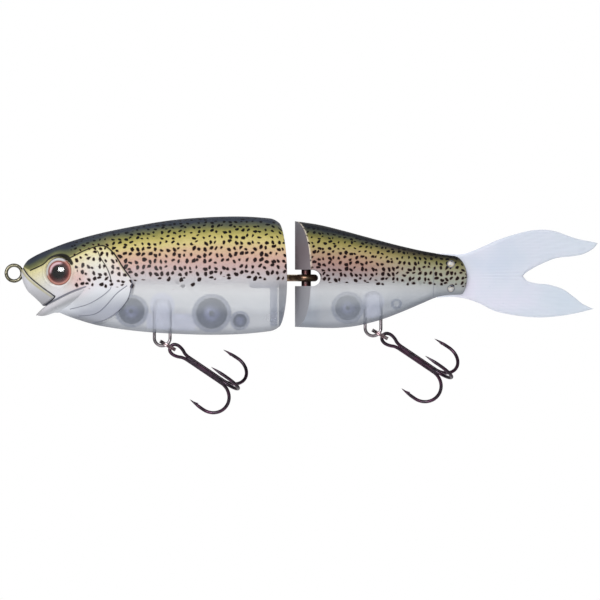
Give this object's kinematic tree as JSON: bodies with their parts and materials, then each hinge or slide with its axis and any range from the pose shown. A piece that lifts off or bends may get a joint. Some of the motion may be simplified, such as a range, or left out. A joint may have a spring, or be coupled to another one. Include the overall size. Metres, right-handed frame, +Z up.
{
  "type": "jointed swimbait",
  "caption": "Two-section hard-bodied fishing lure with a vertical hinge pin, soft forked tail and treble hooks on split rings.",
  "frame": {"origin": "centre of the line eye's hole at the nose", "axes": "+X from nose to tail, +Z up to the back, +Y the right side of the lure"},
  "size_m": [0.1846, 0.0242, 0.0617],
  "materials": {
    "front_shell": "painted and clear-coated translucent ABS",
    "rear_shell": "painted and clear-coated translucent ABS",
    "eye_wire": "polished stainless wire",
    "joint_metal": "polished stainless",
    "pin_metal": "dark plated steel",
    "hanger_wire": "polished stainless wire",
    "iris": "printed foil, copper red with a black pupil",
    "lens": "clear domed resin",
    "ballast": "dull grey metal",
    "tail_pin": "clear plastic pin",
    "tail_rubber": "milky translucent soft plastic",
    "ring_metal": "nickel-plated steel",
    "hook_metal": "black nickel"
  },
  "bodies": {
    "front_body": {"front_shell_left": "front_shell", "front_shell_right": "front_shell", "line_eye": "eye_wire", "joint_eye": "joint_metal", "front_hook_hanger": "hanger_wire", "iris_left": "iris", "iris_right": "iris", "eye_lens_left": "lens", "eye_lens_right": "lens", "ballast_fore": "ballast", "ballast_main": "ballast", "ballast_trim": "ballast"},
    "rear_body": {"rear_shell_left": "rear_shell", "rear_shell_right": "rear_shell", "hinge_pin": "pin_metal", "rear_hook_hanger": "hanger_wire", "ballast_rear": "ballast", "tail_pin_upper": "tail_pin", "tail_pin_lower": "tail_pin", "tail_root": "tail_rubber"},
    "tail": {"tail_fin": "tail_rubber"},
    "front_ring": {"front_split_ring": "ring_metal"},
    "front_treble": {"front_double_hook": "hook_metal", "front_single_hook": "hook_metal"},
    "rear_ring": {"rear_split_ring": "ring_metal"},
    "rear_treble": {"rear_double_hook": "hook_metal", "rear_single_hook": "hook_metal"}
  },
  "joints": [
    {"name": "body_yaw", "type": "hinge", "parent": "front_body", "child": "rear_body", "pos_m": [0.0909, 0, -0.0015], "axis": [0, 0, 1], "range_deg": [-42, 42]},
    {"name": "tail_flex", "type": "hinge", "parent": "rear_body", "child": "tail", "pos_m": [0.1419, 0, -0.0009], "axis": [0, 0, 1], "range_deg": [-25, 25], "stiffness_Nm_per_rad": 0.004},
    {"name": "front_ring_swing", "type": "hinge", "parent": "front_body", "child": "front_ring", "pos_m": [0.0474, 0, -0.02228], "axis": [0.848, 0, 0.5299], "range_deg": [-40, 40]},
    {"name": "front_treble_swing", "type": "hinge", "parent": "front_ring", "child": "front_treble", "pos_m": [0.05002, 0, -0.02379], "axis": [0, 1, 0], "range_deg": [-12, 100]},
    {"name": "rear_ring_swing", "type": "hinge", "parent": "rear_body", "child": "rear_ring", "pos_m": [0.11343, 0, -0.01883], "axis": [0.7071, 0, 0.7071], "range_deg": [-40, 40]},
    {"name": "rear_treble_swing", "type": "hinge", "parent": "rear_ring", "child": "rear_treble", "pos_m": [0.11605, 0, -0.02034], "axis": [0, 1, 0], "range_deg": [-20, 100]}
  ]
}
